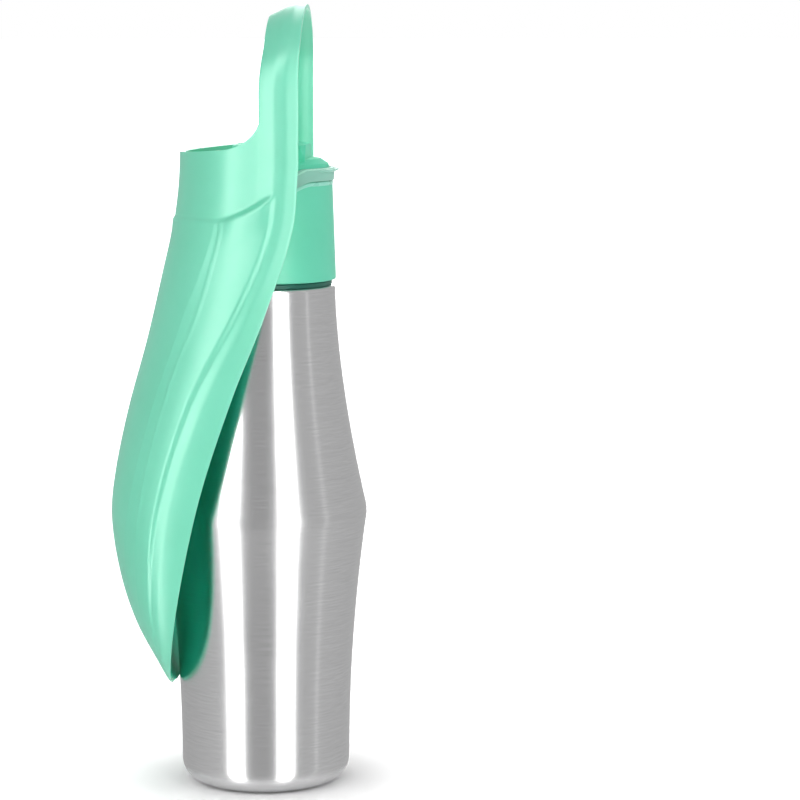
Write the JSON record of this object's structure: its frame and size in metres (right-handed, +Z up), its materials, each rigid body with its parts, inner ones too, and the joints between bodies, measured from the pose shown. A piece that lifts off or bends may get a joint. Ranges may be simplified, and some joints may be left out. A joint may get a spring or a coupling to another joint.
{
  "type": "dog travel water bottle",
  "caption": "Steel travel bottle with a screw cap, a swinging outlet cover, and a leaf-shaped drinking bowl that folds on the cap and carries the hand loop.",
  "frame": {"origin": "middle of the ring that the bottle stands on, on the floor", "axes": "+Z up along the bottle's axis, -Y towards the bowl's front, +X along the hinge line"},
  "size_m": [0.0874, 0.1003, 0.3054],
  "materials": {
    "body_steel": "brushed round the body",
    "pin_steel": "turned and polished",
    "mint_plastic": "moulded, satin",
    "pale_plastic": "moulded, satin",
    "dark_silicone": "satin",
    "clear_silicone": "milky, satin",
    "cover_silicone": "milky and slightly see-through"
  },
  "bodies": {
    "bottle": {"bottle_shell": "body_steel", "base_plate": "body_steel", "thread_ring": "body_steel", "neck_seal": "dark_silicone"},
    "gasket": {"lid_gasket": "clear_silicone"},
    "cap": {"cap_shell": "mint_plastic", "cap_liner": "pale_plastic", "dome_seal": "clear_silicone", "top_cover": "mint_plastic", "vent_valve": "clear_silicone", "pivot_pin_left": "pin_steel", "pivot_pin_right": "pin_steel", "pivot_washer_left": "clear_silicone", "pivot_washer_right": "clear_silicone"},
    "cover": {"spout_cover": "cover_silicone", "cover_seal": "clear_silicone"},
    "bowl": {"leaf_bowl": "mint_plastic"}
  },
  "joints": [
    {"name": "cap_lift", "type": "slide", "parent": "bottle", "child": "gasket", "axis": [0, 0, 1], "range_m": [0, 0.005]},
    {"name": "cap_unscrew", "type": "hinge", "parent": "gasket", "child": "cap", "pos_m": [0, 0, 0.2], "axis": [0, 0, 1], "range_deg": [0, 450]},
    {"name": "cover_swing", "type": "hinge", "parent": "cap", "child": "cover", "pos_m": [0, 0, 0.23455], "axis": [1, 0, 0], "range_deg": [0, 85]},
    {"name": "bowl_fold", "type": "hinge", "parent": "cap", "child": "bowl", "pos_m": [0, 0, 0.23455], "axis": [1, 0, 0], "range_deg": [-140, 0]}
  ],
  "couplings": [
    {"joint": "cap_lift", "follows": "cap_unscrew", "m_per_rad": 0.00063661}
  ]
}
